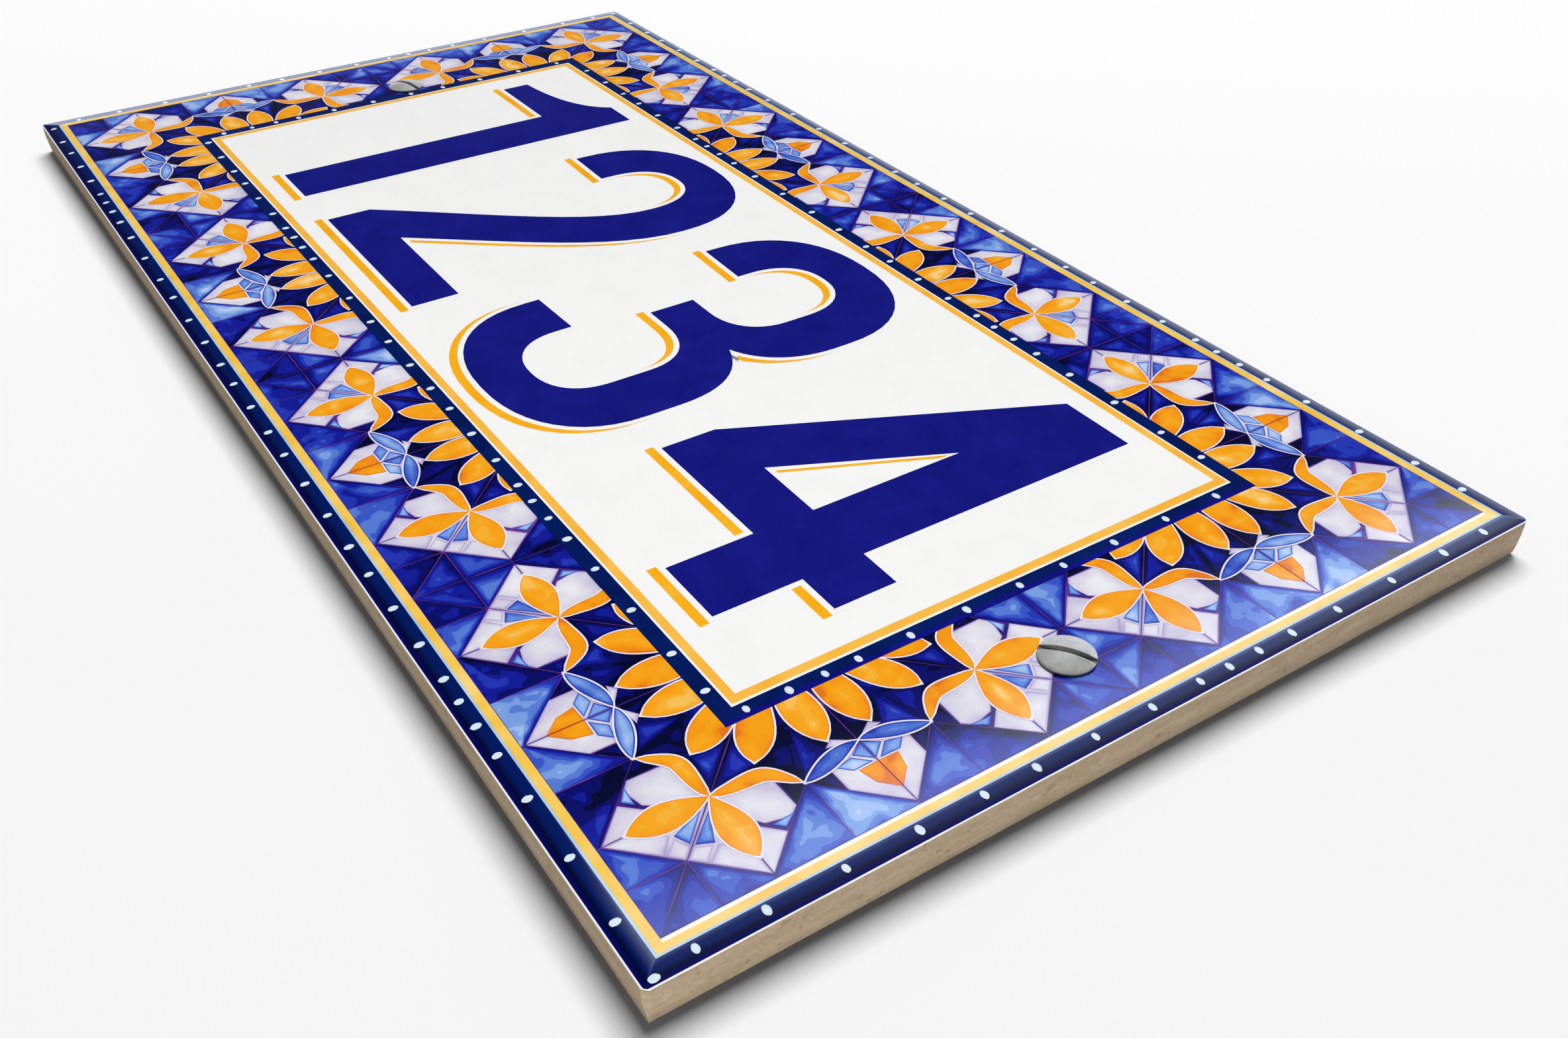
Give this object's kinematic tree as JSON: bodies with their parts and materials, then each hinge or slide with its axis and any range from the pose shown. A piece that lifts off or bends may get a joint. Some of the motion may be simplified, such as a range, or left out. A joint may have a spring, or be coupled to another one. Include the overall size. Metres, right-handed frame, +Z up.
{
  "type": "house number plaque",
  "caption": "Flat rectangular glazed ceramic plaque with a printed border and number, fixed flat to a wall by slotted domed screws through its ends.",
  "frame": {"origin": "middle of the tile's flat back, which lies against the wall", "axes": "+X along the number as it is read, +Y into the wall, +Z up; the glazed face looks towards -Y"},
  "size_m": [0.2844, 0.0413, 0.15],
  "materials": {
    "glazed_ceramic": "white gloss glaze over a buff clay body",
    "screw_steel": "dull grey plated steel"
  },
  "bodies": {
    "root": {"glazed_tile": "glazed_ceramic", "fixing_screw_left": "screw_steel", "fixing_screw_right": "screw_steel"}
  },
  "joints": []
}
